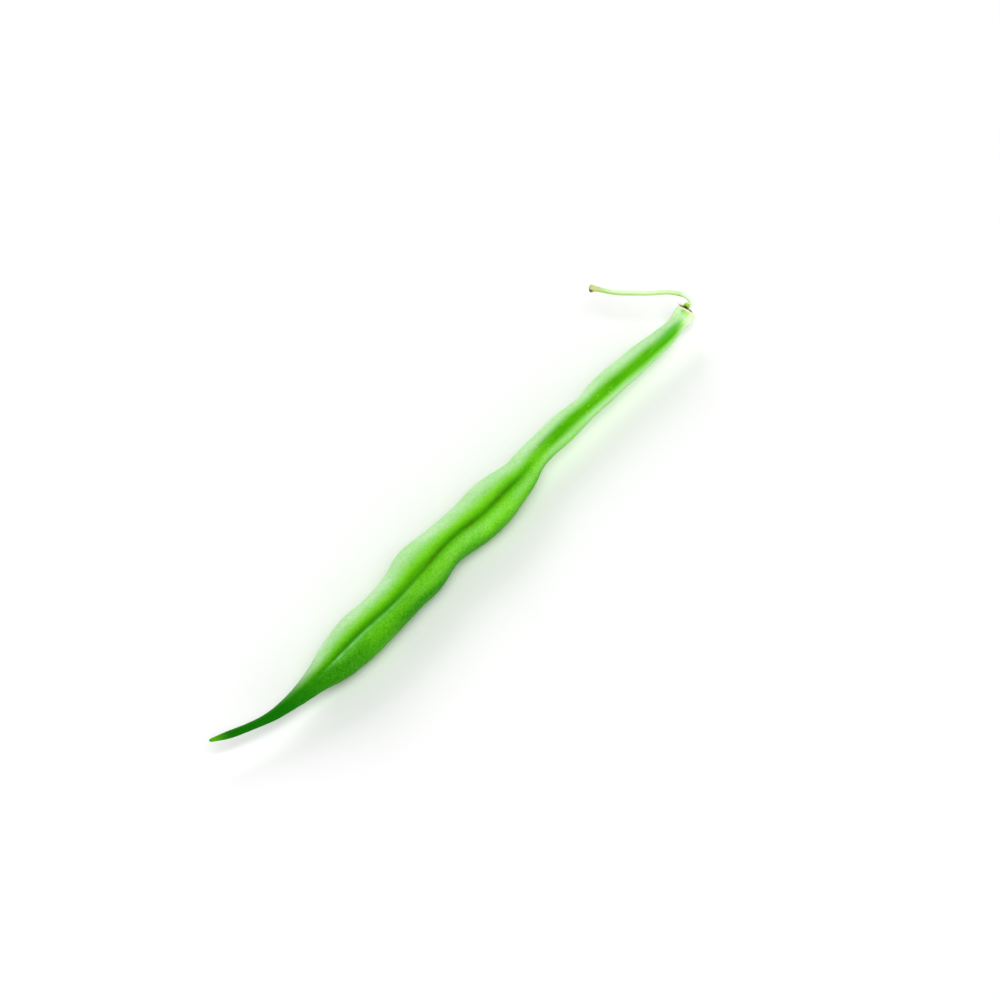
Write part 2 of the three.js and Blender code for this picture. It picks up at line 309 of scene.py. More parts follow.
# Bloom of the +Y flank, partly the skin's own pale bloom and partly painted highlight where light
# grazes that flank: the level where it starts and how that shifts along the pod, then its lower
# edge in degrees, which turns further down along the neck.
BLOOM_AND_HIGHLIGHT = {"starts": 0.15, "softness": 0.66, "along": (-60.0, -45.0), "less": 0.85}
BLOOM_AND_HIGHLIGHT_AT_BEAK = {"along": (-22.0, -38.0), "shift": -0.05}
BLOOM_AND_HIGHLIGHT_SHIFTS = (
    {"x": -18.0, "reach": 6.0, "shift": 0.07},
    {"x": 20.0, "reach": 7.0, "shift": -0.28},
)
BLOOM_AND_HIGHLIGHT_LOWER = {"turn": (68.0, 126.0), "more": 24.0, "along": (0.0, 46.0)}
# Bloom of the neck's -Y flank, partly its own pale bloom and partly painted sheen, thinner at one
# x, with its lower edge.
NECK_BLOOM_AND_SHEEN = {"level": (0.05, 0.75), "along": (10.0, 26.0), "less": 0.9}
NECK_BLOOM_AND_SHEEN_THIN = {"x": 26.0, "reach": 12.0, "less": 0.3}
NECK_BLOOM_AND_SHEEN_LOWER = {"turn": (34.0, 90.0), "more": 14.0, "along": (28.0, 46.0)}
# Patches of thin bloom and painted sheen on the -Y cheek.
CHEEK = {"level": -0.46, "width": 0.24, "starts": (-28.0, -2.0), "ends": (18.0, 10.0)}
CHEEK_BLOOM_AND_SHEEN = {"share": 0.27, "most": 0.6}
CHEEK_SHEEN_PATCHES = {"height": 0.13, "wavelength": 3.4, "seed": 14, "stretch": 1.8, "waves": 28}

# Deeper green towards the beak, partly its own colour and partly painted shade on the -Y flank:
# in steps of level from flank to flank, at the beak's root and on the low -Y side of the body,
# then a paler stretch of the -Y cheek, painted light on a seed's swelling.
DEEP_AND_SHADE = {"along": (6.0, -42.0), "least": 0.1}
SHADE_STEPS = ((0.44, (0.3, -0.12)), (0.46, (-0.16, -0.66)))
DEEP_AND_SHADE_ROOT = {"share": 0.35, "along": (-38.0, -45.0), "level": (0.5, 0.1)}
SHADE_LOW = {"share": 0.7, "level": (0.55, 1.0), "starts": (26.0, 14.0), "ends": (-40.0, -20.0)}
SEED_SWELLING_LIGHT = {"x": -31.5, "reach": 4.5, "less": 0.28, "level": (0.0, -0.3)}
# Painted light: warmer, brighter green on the lit +Y wall beside the crease.
CREASE_WALL_LIGHT = {"level": 0.27, "width": 0.2, "starts": (-44.0, -34.0), "ends": (18.0, 8.0)}

# ---- Shared maths ---------------------------------------------------------------------


def fade(start, stop, x):
    t = np.clip((x - start) / (stop - start), 0.0, 1.0)
    return t * t * (3.0 - 2.0 * t)


def presence(feature, x):
    """1 along the middle of a feature, falling to 0 at its two ends."""
    rising = fade(feature["start"], feature["full"], x)
    return rising * (1.0 - fade(feature["fades"], feature["stop"], x))


def bell(value, width):
    return np.exp(-((value / width) ** 2))


def smooth_curve(known, values, x):
    """A smooth curve through values at the rising places known, read at x."""
    slopes = np.gradient(values, known)
    i = np.clip(np.searchsorted(known, x) - 1, 0, len(known) - 2)
    span = known[i + 1] - known[i]
    t = (x - known[i]) / span
    rise = t * t * (3.0 - 2.0 * t)
    bend = slopes[i] * span * t * (1.0 - t) ** 2 - slopes[i + 1] * span * t * t * (1.0 - t)
    return values[i] + (values[i + 1] - values[i]) * rise + bend


def spine_value(column, x):
    return smooth_curve(SPINE[::-1, 0], SPINE[::-1, column], x)


def unit(vectors):
    return vectors / np.linalg.norm(vectors, axis=-1, keepdims=True)


def ripples(points, wavelength, seed, stretch, waves):
    """A smooth random height of about -1 to 1 at each point. stretch lengthens it along X."""
    draw = np.random.default_rng(seed)
    directions = unit(draw.normal(size=(waves, 3)))
    pitches = 2.0 * np.pi / (wavelength * draw.uniform(*PITCHES, waves))
    phases = draw.uniform(0.0, 2.0 * np.pi, waves)
    scaled = points * np.array([1.0 / stretch, 1.0, 1.0])
    total = np.zeros(points.shape[:-1])
    for direction, pitch, phase in zip(directions, pitches, phases):
        total += np.sin(scaled @ direction * pitch + phase)
    return total * math.sqrt(2.0 / waves) * RIPPLE_HEIGHT


def relief(points, kind):
    """Random relief of one kind at each point, in its own height."""
    height = ripples(points, kind["wavelength"], kind["seed"], kind["stretch"], kind["waves"])
    return kind["height"] * height


def near(place, x):
    """1 at the x of a place, falling off over its reach."""
    return bell(x - place["x"], place["reach"])


def spot(place, x, degrees):
    """A spot on the pod, 1 at its middle."""
    return near(place, x) * bell(degrees - place["turn"], place["width"])


# ---- Pod: form ------------------------------------------------------------------------


def spine_points(x):
    return np.stack([x, spine_value(1, x), spine_value(2, x)], axis=-1)


def pod_frame(x):
    """Middle, direction to the stalk, to the ventral suture and to the side, at each x."""
    middle = spine_points(x)
    along = unit(spine_points(x + TANGENT_STEP) - spine_points(x - TANGENT_STEP))
    body = BODY_ROLL["more"] * fade(BODY_ROLL["start"], BODY_ROLL["stop"], x)
    neck = NECK_ROLL["more"] * fade(NECK_ROLL["start"], NECK_ROLL["stop"], x)
    roll = np.radians(BEAK_ROLL + body + neck)
    suture = np.stack([np.zeros_like(x), -np.sin(roll), np.cos(roll)], axis=-1)
    suture = unit(suture - along * np.sum(suture * along, axis=-1, keepdims=True))
    side = np.cross(suture, along)
    return middle, along, suture, side


def signed_degrees(turn):
    """Degrees round from the ventral suture, -180 to 180, positive towards +Y."""
    return np.degrees((turn + np.pi) % (2.0 * np.pi) - np.pi)


def from_back(degrees):
    """Degrees from the ridge along the pod's back."""
    return 180.0 - np.abs(degrees)


def pod_radius(x, turn):
    degrees = signed_degrees(turn)
    level = np.sin(turn)
    reach = (1.0 - SWELLING_AT_SUTURES) * np.abs(level) ** SWELLING_ROUNDNESS
    reach = SWELLING_AT_SUTURES + reach
    radius = spine_value(3, x) * (1.0 + EXTRA_DEPTH * np.cos(turn) ** 2)
    for at, length, left, right in SEEDS:
        swelling = (left + right) / 2.0 + (left - right) / 2.0 * level
        radius = radius + swelling * reach * bell(x - at, length)
    crease = presence(CREASE, x)
    radius = radius - crease * CREASE["depth"] * bell(degrees, CREASE["width"])
    radius = radius - crease * CHEEK_DIP["depth"] * bell(degrees, CHEEK_DIP["width"])
    radius = radius - presence(CHANNEL, x) * CHANNEL["depth"] * bell(degrees, CHANNEL["width"])
    ridge = presence(RIDGE, x) * RIDGE["height"]
    radius = radius + ridge * bell(from_back(degrees), RIDGE["width"])
    wander = sum(height * np.sin(x * pitch + turned) for height, pitch, turned in SEAM_WAVES)
    wander = SEAM_WANDER * wander
    radius = radius - presence(SEAM, x) * SEAM["depth"] * bell(degrees - wander, SEAM["width"])
    off_lip = degrees + LIP_TURN - wander
    return radius + presence(LIP, x) * LIP["height"] * bell(off_lip, LIP["width"])


def pod_stations():
    neck = np.linspace(STALK_END, NECK_BOTTOM, NECK_STEPS, endpoint=False)
    body = np.linspace(NECK_BOTTOM, BEAK_TOP, BODY_STEPS, endpoint=False)
    beak = np.linspace(BEAK_TOP, BEAK_END, BEAK_STEPS + 1)
    return np.concatenate([neck, body, beak])


def pod_rings():
    """The rings of the pod from its rim to its beak, with each vertex's x and turn."""
    stations = pod_stations()
    even = np.linspace(0.0, 2.0 * np.pi, POD_SIDES, endpoint=False)
    turns = even - CROWDING * np.sin(even)
    x, turn = np.meshgrid(stations, turns, indexing="ij")
    middle, along, suture, side = pod_frame(stations)
    radius = pod_radius(x, turn)
    slanted = fade(SLANT_STARTS, STALK_END, x)[..., None]
    up = (radius * np.cos(turn))[..., None]
    across = (radius * np.sin(turn))[..., None]
    points = middle[:, None] + up * suture[:, None] + across * side[:, None]
    points = points - slanted * (SLANT["suture"] * up + SLANT["side"] * across) * along[:, None]
    outward = unit(points - middle[:, None])
    rough = fade(STALK_END, STALK_END - SMOOTH_ENDS["stalk"], x)
    rough = rough * fade(BEAK_END, BEAK_END + SMOOTH_ENDS["beak"], x)
    height = rough * (relief(points, SWELLS) + relief(points, GRAIN))
    points = points + height[..., None] * outward
    # Whatever would sink below the surface lies flat on it.
    points[..., 2] = np.maximum(points[..., 2], 0.0)
    return points, x, turn


def mesh_object(name, points, faces, attributes):
    """A smooth mesh object from points in millimetres, with a float attribute per vertex."""
    mesh = bpy.data.meshes.new(name)
    mesh.from_pydata((points * MM).tolist(), [], faces)
    mesh.validate()
    mesh.shade_smooth()
    for label, values in attributes.items():
        layer = mesh.attributes.new(label, "FLOAT", "POINT")
        layer.data.foreach_set("value", values.astype(np.float32))
    made = bpy.data.objects.new(name, mesh)
    bpy.context.scene.collection.objects.link(made)
    return made


def loft(rings, start, end):
    """Points and faces of a closed body: rings of equal length, closed by a point at each end."""
    count, sides = rings.shape[:2]
    points = np.concatenate([rings.reshape(-1, 3), [start, end]])
    i = np.arange(sides)
    after = (i + 1) % sides
    faces = []
    for row in range(count - 1):
        a, b = row * sides, (row + 1) * sides
        faces += np.stack([a + i, a + after, b + after, b + i], axis=1).tolist()
    last = (count - 1) * sides
    faces += [(count * sides, int(b), int(a)) for a, b in zip(i, after)]
    faces += [(count * sides + 1, int(last + a), int(last + b)) for a, b in zip(i, after)]
    return points, faces


def pod_end():
    """The end plane at the stalk: its middle, the direction out of it, and sideways."""
    middle, along, suture, side = (vector[0] for vector in pod_frame(np.array([STALK_END])))
    out = unit(along + SLANT["suture"] * suture + SLANT["side"] * side)
    return middle, out, unit(side - np.dot(side, out) * out)


def end_ring(rim, ring):
    middle, out, _ = pod_end()
    return middle + (rim - middle) * ring["scale"] + out * ring["rise"]


# ---- Pod: colour masks, one value for each vertex ----------------------------------------


def lip_highlight_mask(x, degrees):
    off_lip = degrees + LIP_TURN
    line = LIP_HIGHLIGHT_LINE["share"] * bell(off_lip, LIP["width"] * LIP_HIGHLIGHT_LINE["wider"])
    glow = LIP_HIGHLIGHT_GLOW["share"] * bell(off_lip + LIP_HIGHLIGHT_GLOW["turn"], LIP["width"] * LIP_HIGHLIGHT_GLOW["wider"])
    return presence(LIP, x) * (1.0 - LIP_HIGHLIGHT_GAP["less"] * near(LIP_HIGHLIGHT_GAP, x)) * (line + glow)


def channel_shade_mask(x, degrees):
    width = CHANNEL_SHADE_WIDTH["wider"] - CHANNEL_SHADE_WIDTH["taper"] * fade(*CHANNEL_SHADE_WIDTH["along"], x)
    width = width + CHANNEL_SHADE_BULGE["more"] * near(CHANNEL_SHADE_BULGE, x)
    width = width + CHANNEL_SHADE_WIDTH["waver"] * np.sin(x * CHANNEL_SHADE_WIDTH["pitch"])
    off_middle = degrees - CHANNEL_SHADE_TURN["more"] * fade(*CHANNEL_SHADE_TURN["along"], x)
    filled = CHANNEL_SHADE_FILL * bell(off_middle, CHANNEL["width"] * width)
    return presence(CHANNEL_SHADE, x) * np.minimum(1.0, filled)


def bloom_and_highlight_mask(x, degrees, level, rings):
    # Pale flanks: partly the skin's own bloom, partly painted highlight and sheen.
    starts = BLOOM_AND_HIGHLIGHT["starts"] + BLOOM_AND_HIGHLIGHT_AT_BEAK["shift"] * fade(*BLOOM_AND_HIGHLIGHT_AT_BEAK["along"], x)
    for place in BLOOM_AND_HIGHLIGHT_SHIFTS:
        starts = starts + place["shift"] * near(place, x)
    rising = np.clip((level - starts) / BLOOM_AND_HIGHLIGHT["softness"], 0.0, 1.0)
    further = BLOOM_AND_HIGHLIGHT_LOWER["more"] * fade(*BLOOM_AND_HIGHLIGHT_LOWER["along"], x)
    lower = fade(*BLOOM_AND_HIGHLIGHT_LOWER["turn"], degrees - further)
    bloom_and_highlight = rising ** 2 * (3.0 - 2.0 * rising) * fade(*BLOOM_AND_HIGHLIGHT["along"], x)
    bloom_and_highlight = bloom_and_highlight * (1.0 - BLOOM_AND_HIGHLIGHT["less"] * lower)

    starts, stops = NECK_BLOOM_AND_SHEEN_LOWER["turn"]
    further = NECK_BLOOM_AND_SHEEN_LOWER["more"] * fade(*NECK_BLOOM_AND_SHEEN_LOWER["along"], x)
    lower = fade(starts + further, stops, -degrees)
    thinner = 1.0 - NECK_BLOOM_AND_SHEEN_THIN["less"] * near(NECK_BLOOM_AND_SHEEN_THIN, x)
    neck = thinner * fade(*NECK_BLOOM_AND_SHEEN["level"], -level) * fade(*NECK_BLOOM_AND_SHEEN["along"], x)
    bloom_and_highlight = bloom_and_highlight + neck * (1.0 - NECK_BLOOM_AND_SHEEN["less"] * lower)

    cheek = bell(level - CHEEK["level"], CHEEK["width"])
    cheek = cheek * fade(*CHEEK["starts"], x) * fade(*CHEEK["ends"], x)
    patches = CHEEK_BLOOM_AND_SHEEN["share"] + relief(rings, CHEEK_SHEEN_PATCHES)
    return bloom_and_highlight + cheek * np.clip(patches, 0.0, CHEEK_BLOOM_AND_SHEEN["most"])


def deep_and_shade_mask(x, level):
    # Deeper green towards the beak, partly its own and partly painted shade on the -Y flank.
    shaded = DEEP_AND_SHADE["least"]
    for more, levels in SHADE_STEPS:
        shaded = shaded + more * fade(*levels, level)
    root = DEEP_AND_SHADE_ROOT["share"] * fade(*DEEP_AND_SHADE_ROOT["along"], x) * fade(*DEEP_AND_SHADE_ROOT["level"], level)
    low = SHADE_LOW["share"] * fade(*SHADE_LOW["level"], -level)
    low = low * fade(*SHADE_LOW["starts"], x) * fade(*SHADE_LOW["ends"], x)
    deep_and_shade = fade(*DEEP_AND_SHADE["along"], x) * shaded + root + low
    # Painted light on a seed's swelling of the -Y cheek.
    seed_light = SEED_SWELLING_LIGHT["less"] * near(SEED_SWELLING_LIGHT, x) * fade(*SEED_SWELLING_LIGHT["level"], level)
    return np.minimum(deep_and_shade, 1.0) * (1.0 - seed_light)


def pod_masks(x, turn, rings):
    degrees, level = signed_degrees(turn), np.sin(turn)
    off_crease = degrees - CREASE_SHADE["turn"] - CREASE_SHADE["bend"] * near(CREASE_SHADE, x)
    pale_end = fade(*PALE_END["along"], x) * fade(*PALE_END["left"], degrees)
    crease_wall_light = bell(level - CREASE_WALL_LIGHT["level"], CREASE_WALL_LIGHT["width"])
    fleck = sum(bell(x - at, reach) for at, reach in FLECKS)
    return {
        "along": x,
        "crease_shade": presence(CREASE, x) * bell(off_crease, CREASE["width"] * CREASE_SHADE["wider"]),
        "seam_shade": presence(SEAM, x) * bell(degrees, SEAM["width"] * SEAM_SHADE_WIDER),
        "channel": channel_shade_mask(x, degrees),
        "lip_highlight": lip_highlight_mask(x, degrees),
        "ridge": presence(RIDGE, x) * bell(from_back(degrees), RIDGE["width"] * RIDGE_WIDER),
        "bloom_and_highlight": bloom_and_highlight_mask(x, degrees, level, rings),
        "deep_and_shade": deep_and_shade_mask(x, level),
        "crease_wall_light": crease_wall_light * fade(*CREASE_WALL_LIGHT["starts"], x) * fade(*CREASE_WALL_LIGHT["ends"], x),
        "patch": spot(PATCH, x, degrees),
        "end_spot": spot(END_SPOT, x, degrees),
        "pale_end": pale_end * fade(*PALE_END["right"], degrees),
        "fleck": fleck * bell(degrees, FLECK_WIDTH),
        "dish": np.zeros_like(x),
    }


def make_pod():
    rings, x, turn = pod_rings()
    middle, out, _ = pod_end()
    dish = np.stack([end_ring(rings[0], ring) for ring, _ in DISH])
    floor_middle = middle + out * DISH_FLOOR["rise"]
    tip_middle, tip_along, _, _ = pod_frame(np.array([BEAK_END]))
    tip = [
        tip_middle[0] + (rings[-1] - tip_middle[0]) * share - tip_along[0] * past
        for share, past in BEAK_CAPS
    ]
    beak_end = tip_middle[0] - tip_along[0] * BEAK_POINT
    points, faces = loft(np.concatenate([dish, rings, np.stack(tip)]), floor_middle, beak_end)

    def spread(values, inner, outer):
        """A mask's values for all vertices, with those of the dish and of the beak's caps."""
        start = np.broadcast_to(np.reshape(inner, (-1, 1)), (len(DISH), POD_SIDES))
        rows = [start, values, np.full((len(BEAK_CAPS), POD_SIDES), outer)]
        return np.concatenate([np.concatenate(rows).ravel(), [start[0, 0], outer]])

    ends = {
        "along": (STALK_END + 1.0, BEAK_END),
        "deep_and_shade": (0.0, 1.0),
        "dish": ([scarred for _, scarred in DISH], 0.0),
    }
    masks = pod_masks(x, turn, rings)
    attributes = {
        name: spread(values, *ends.get(name, (0.0, 0.0))) for name, values in masks.items()
    }
    return mesh_object("pod_skin", points, faces, attributes)


# ---- Calyx: form ------------------------------------------------------------------------


def calyx_frame():
    middle, out, side = pod_end()
    return middle + side * CALYX_OFFSET, out, side, unit(np.cross(out, side))


def calyx_profile():
    """Height, radius and reach of the teeth, from the calyx's foot over its edge to its cup."""
    profile = []
    for lower, upper in zip(CALYX_RINGS, CALYX_RINGS[1:]):
        for t in np.linspace(0.0, 1.0, CALYX_STEPS, endpoint=False):
            profile.append([a + (b - a) * t for a, b in zip(lower, upper)])
    profile.append(list(CALYX_RINGS[-1]))
    return profile


def make_calyx():
    centre, out, side, across = calyx_frame()
    turn = np.linspace(0.0, 2.0 * np.pi, CALYX_SIDES, endpoint=False)
    degrees = np.degrees(turn)
    reach, stand = np.zeros_like(turn), np.zeros_like(turn)
    for at, width, length, upward in TEETH:
        tip = bell(signed_degrees(turn - math.radians(at)), width)
        reach = np.maximum(reach, length * tip)
        stand = stand + upward * tip ** TOOTH_CURL
    direction = side * np.cos(turn)[:, None] + across * np.sin(turn)[:, None]
    burnt_and_shaded = bell(signed_degrees(turn - math.radians(SCORCH_AND_SHADE["turn"])), SCORCH_AND_SHADE["width"])
    browned = fade(*BROWN["starts"], degrees) * fade(*BROWN["ends"], degrees)
    rings = []
    masks = {"tooth": [], "cup": [], "scorched_and_shaded": [], "brown": []}
    for place, (rise, radius, teeth) in enumerate(calyx_profile()):
        share = teeth / FULL_TOOTH
        wave = WAVE["height"] * np.sin(WAVE["count"] * turn + WAVE["turned"])
        small = np.sin(SMALL_WAVE["count"] * turn + place * SMALL_WAVE["turned"])
        wave = wave + SMALL_WAVE["height"] * small
        out_by = (radius + share * (reach + wave))[:, None]
        lift = (rise + share * (WAVE_LIFT * wave + stand))[:, None]
        rings.append(centre + out * lift + direction * out_by)
        inside = place > CUP_RING * CALYX_STEPS
        masks["tooth"].append(share * reach / PALE_TOOTH)
        # The cup's rings carry painted shade.
        masks["cup"].append(np.full(CALYX_SIDES, 1.0 if inside else 0.0))
        masks["scorched_and_shaded"].append(burnt_and_shaded * fade(*SCORCH_AND_SHADE["heights"], rise))
        masks["brown"].append(browned * fade(*BROWN["heights"], rise))
    bottom = centre + out * CALYX_RINGS[0][0]
    top = centre + out * CALYX_RINGS[-1][0]
    points, faces = loft(np.stack(rings), bottom, top)
    ends = {"cup": [0.0, 1.0]}
    attributes = {
        name: np.concatenate([np.concatenate(rows), ends.get(name, [0.0, 0.0])])
        for name, rows in masks.items()
    }
    return mesh_object("dried_calyx", points, faces, attributes)


# ---- Stalk: form ------------------------------------------------------------------------


def stalk_course():
    """Middle, direction, distance from the base and radius at each ring, and where it tears."""
    centre, out, side, _ = calyx_frame()
    base = centre + out * (CALYX_RINGS[-1][0] + NUB_FROM)
    places = np.concatenate([[base], STALK[:, :3]])
    radii = np.concatenate([[STALK_BASE], STALK[:, 3]])
    steps = np.linalg.norm(np.diff(places, axis=0), axis=1)
    known = np.concatenate([[0.0], np.cumsum(steps)])
    length = known[-1]
    travel = np.linspace(0.0, length, STALK_STEPS + 1)

    def course(at):
        return np.stack([smooth_curve(known, places[:, axis], at) for axis in range(3)], axis=-1)

    after = course(np.minimum(travel + COURSE_STEP, length))
    along = unit(after - course(np.maximum(travel - COURSE_STEP, 0.0)))
    along[0] = out
    swelling = bell(travel - NUB["at"], NUB["reach"])
    radius = smooth_curve(known, radii, travel) + NUB["height"] * swelling
    radius = radius + TORN_FLARE["height"] * fade(length - TORN_FLARE["length"], length, travel)
    middle = course(travel) + (NUB["lean"] * swelling)[:, None] * side

    # The torn end carries on straight and rounds off.
    past = np.linspace(0.0, 1.0, END_STEPS + 1)[1:]
    rounding = np.sqrt(1.0 - past ** TORN_ROUNDING["power"] * TORN_ROUNDING["share"])
    knob = KNOB_ROUNDING[-1][0] + TORN_ROUNDING["longer"]
    middle = np.concatenate([middle, middle[-1] + along[-1] * past[:, None] * knob])
    travel = np.concatenate([travel, length + past * knob])
    radius = np.concatenate([radius, radius[-1] * rounding])
    along = np.concatenate([along, np.repeat(along[-1:], len(past), axis=0)])
    return base, middle, along, travel, radius, (length - TORN_END["start"], length + knob)


def make_stalk():
    _, _, side, _ = calyx_frame()
    base, middle, along, travel, radius, torn = stalk_course()
    across = unit(STALK_ACROSS - along * (along @ STALK_ACROSS)[:, None])
    down = np.cross(along, across)
    turn = np.linspace(0.0, 2.0 * np.pi, STALK_SIDES, endpoint=False)
    ridges = np.cos(STALK_RIDGES["count"] * turn + STALK_RIDGES["twist"] * travel[:, None])
    ridges = STALK_RIDGES["height"] * ridges * fade(*STALK_RIDGES["rise"], travel)[:, None]
    size = radius[:, None] * (1.0 + ridges)
    rings = middle[:, None]
    rings = rings + (size * np.cos(turn))[..., None] * across[:, None]
    rings = rings + (size * np.sin(turn))[..., None] * down[:, None]
    rings = rings + relief(rings, STALK_GRAIN)[..., None] * unit(rings - middle[:, None])
    lobes = 0.5 - 0.5 * np.cos(TORN_END["lobes"] * turn + TORN_END["turned"])
    lobes = lobes + TORN_END["tooth"] * np.cos(TORN_END["teeth"] * turn)
    pulled = TORN_END["depth"] * lobes * fade(*torn, travel)[:, None]
    rings = rings - pulled[..., None] * along[:, None]
    points, faces = loft(rings, base, middle[-1])
    towards = np.clip(((rings - middle[:, None]) @ side) / size, -1.0, 1.0)
    nub = fade(*NUB_MARK["travel"], travel)[:, None] * fade(*NUB_MARK["towards"], towards)
    # Where the stalk's painted shade lies, on its underside; the withered colour uses it too.
    under = np.cos(turn - math.radians(SHADED_UNDERSIDE))
    under = fade(*SHADED_UNDERSIDE_FADE, under) * np.ones_like(size)
    attributes = {
        "along": np.concatenate([np.repeat(travel, STALK_SIDES), [0.0, travel[-1]]]),
        "nub": np.concatenate([nub.ravel(), [1.0, 0.0]]),
        "under": np.concatenate([under.ravel(), [0.0, 0.5]]),
    }
    return mesh_object("stalk_skin", points, faces, attributes)


# ---- Shader helpers -------------------------------------------------------------------


def linear(red, green, blue):
    """A colour given as it looks on a screen, 0 to 255, in the renderer's linear values."""

    def channel(value):
        value /= 255.0
        return value / 12.92 if value <= 0.04045 else ((value + 0.055) / 1.055) ** 2.4

    return (channel(red), channel(green), channel(blue), 1.0)


class Graph:
    """Short calls for building one material's nodes."""

    def __init__(self, name):
        self.material = bpy.data.materials.new(name)
        self.material.use_nodes = True
        self.tree = self.material.node_tree
        self.shader = self.tree.nodes["Principled BSDF"]

    def node(self, kind, inputs=(), **settings):
        made = self.tree.nodes.new(kind)
        for label, value in settings.items():
            setattr(made, label, value)
        for socket, value in dict(inputs).items():
            self.put(made.inputs[socket], value)
        return made

    def put(self, socket, value):
        if isinstance(value, bpy.types.NodeSocket):
            self.tree.links.new(value, socket)
        else:
            socket.default_value = value

    def set(self, **values):
        """Sets or links the shader's own sockets, with _ for each space in their names."""
        for label, value in values.items():
            self.put(self.shader.inputs[label.replace("_", " ")], value)

    def attribute(self, name):
        return self.node("ShaderNodeAttribute", attribute_name=name).outputs["Fac"]

    def places(self, scale=(1.0, 1.0, 1.0)):
        """Object coordinates in millimetres, times scale."""
        found = self.node("ShaderNodeTexCoord").outputs["Object"]
        inputs = {0: found, 1: tuple(s / MM for s in scale)}
        return self.node("ShaderNodeVectorMath", inputs, operation="MULTIPLY").outputs[0]

    def noise(self, size, detail=2.0, scale=(1.0, 1.0, 1.0)):
        """Noise of 0 to 1 with features of about this many millimetres, divided by scale."""
        inputs = {"Vector": self.places(scale), "Scale": 1.0 / size, "Detail": detail}
        return self.node("ShaderNodeTexNoise", inputs).outputs["Fac"]

    def scattered(self, spacing, radius):
        """Scattered round dots of this radius, in millimetres: 1 in a dot, 0 outside."""
        inputs = {"Vector": self.places(), "Scale": 1.0 / spacing}
        distance = self.node("ShaderNodeTexVoronoi", inputs).outputs["Distance"]
        return self.step(distance, radius / spacing, 0.5 * radius / spacing)

    def times(self, a, b):
        return self.node("ShaderNodeMath", {0: a, 1: b}, operation="MULTIPLY").outputs[0]

    def step(self, value, low, high, to_low=0.0, to_high=1.0):
        """value between low and high, smoothly turned into to_low to to_high."""
        inputs = {"Value": value, 1: low, 2: high, 3: to_low, 4: to_high}
        return self.node("ShaderNodeMapRange", inputs, interpolation_type="SMOOTHSTEP").outputs[0]

    def mix(self, share, a, b, blend="MIX"):
        made = self.node("ShaderNodeMix", data_type="RGBA", blend_type=blend)
        for socket, value in ((0, share), (6, a), (7, b)):
            self.put(made.inputs[socket], value)
        return made.outputs[2]

    def over(self, under, colour, mask, share):
        """A colour laid over another one by a mask, times share."""
        return self.mix(self.times(mask, share), under, colour)

    def bump(self, height, strength, distance, under=None):
        inputs = {"Height": height, "Strength": strength, "Distance": distance * MM}
        if under is not None:
            inputs["Normal"] = under
        return self.node("ShaderNodeBump", inputs).outputs[0]


# ---- Materials ------------------------------------------------------------------------

POD_COLOURS = {
    "skin": linear(106, 190, 2),
    "light skin": linear(124, 202, 6),
    "mottling": linear(138, 214, 24),
    "neck": linear(136, 208, 84),
    "deep_and_shade": linear(48, 132, 1),
    "crease_wall_light": linear(144, 216, 12),
    "bloom_and_highlight": linear(196, 222, 190),
    "down": linear(150, 212, 122),
    "between down": linear(84, 160, 40),
    "veins": linear(150, 220, 60),
    "streak": linear(87, 166, 0),
    "light streak": linear(100, 178, 3),
    "crease": linear(68, 148, 1),
    "dots": linear(186, 226, 132),
    "stalk end": linear(214, 238, 204),
    "fibres": linear(188, 228, 152),
    "patch": linear(98, 184, 66),
    "pale end": linear(228, 236, 212),
    "end spot": linear(140, 198, 70),
    "rim": linear(230, 232, 204),
    "scar": linear(122, 104, 58),
    "light scar": linear(168, 152, 100),
    "beak": linear(24, 118, 1),
    "beak point": linear(110, 180, 30),
    "seam_shade": linear(46, 112, 2),
    "fleck": linear(98, 104, 12),
    "lip_highlight": linear(144, 206, 138),
    "ridge": linear(52, 132, 6),
    "sheen": linear(240, 255, 232),
}
CALYX_COLOURS = {
    "straw": linear(214, 206, 170),
    "light straw": linear(232, 228, 200),
    "tooth": linear(240, 238, 224),
    "brown": linear(160, 126, 92),
    "scorched_and_shaded": linear(62, 46, 20),
    "cup": linear(58, 42, 20),
}
STALK_COLOURS = {
    "skin": linear(190, 220, 158),
    "light skin": linear(206, 230, 182),
    "whitish": linear(220, 234, 208),
    "shaded underside": linear(164, 200, 94),
    "bend": linear(228, 240, 216),
    "nub": linear(152, 202, 62),
    "drying": linear(202, 196, 142),
    "torn": linear(150, 134, 92),
    "withered": linear(88, 88, 34),
}


